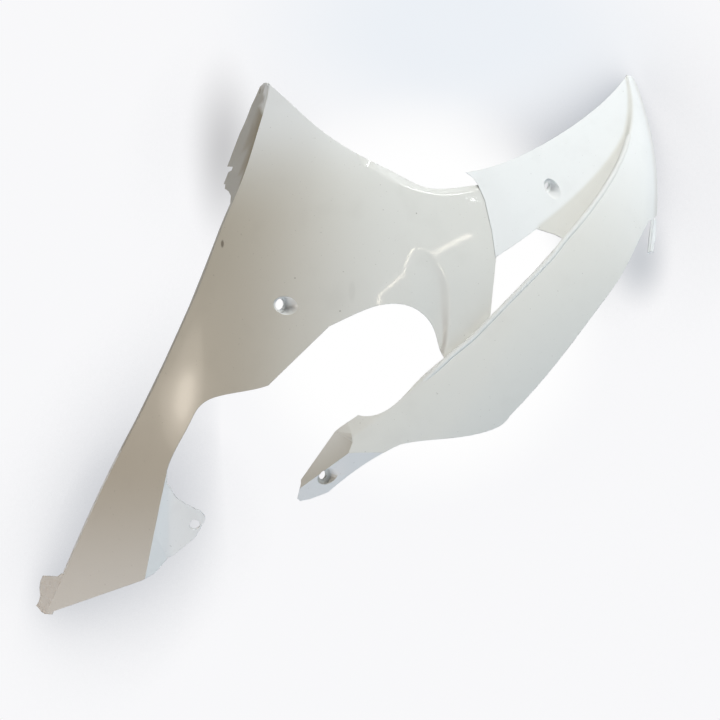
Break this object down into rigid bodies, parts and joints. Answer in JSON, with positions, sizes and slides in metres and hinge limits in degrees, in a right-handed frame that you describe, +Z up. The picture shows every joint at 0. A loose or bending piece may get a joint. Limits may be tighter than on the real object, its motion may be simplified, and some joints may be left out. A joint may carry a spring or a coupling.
{
  "type": "motorcycle side fairing",
  "caption": "Moulded plastic side fairing of a sport motorcycle: domed main panel with a long lower leg, and a raised nose blade bonded over it, with recessed fixing holes.",
  "frame": {"origin": "seat of the main fixing, where the screw head bears in its recess, at the hole's centre", "axes": "+X toward the nose of the motorcycle (right in the picture), +Z up, the outer face looks along -Y"},
  "size_m": [0.7047, 0.278, 0.614],
  "materials": {
    "main_panel": "off-white semi-gloss moulding, slightly yellowed and scuffed",
    "blade_panel": "off-white semi-gloss moulding, slightly yellowed and scuffed"
  },
  "bodies": {
    "root": {"main_panel": "main_panel", "blade_panel": "blade_panel"}
  },
  "joints": []
}
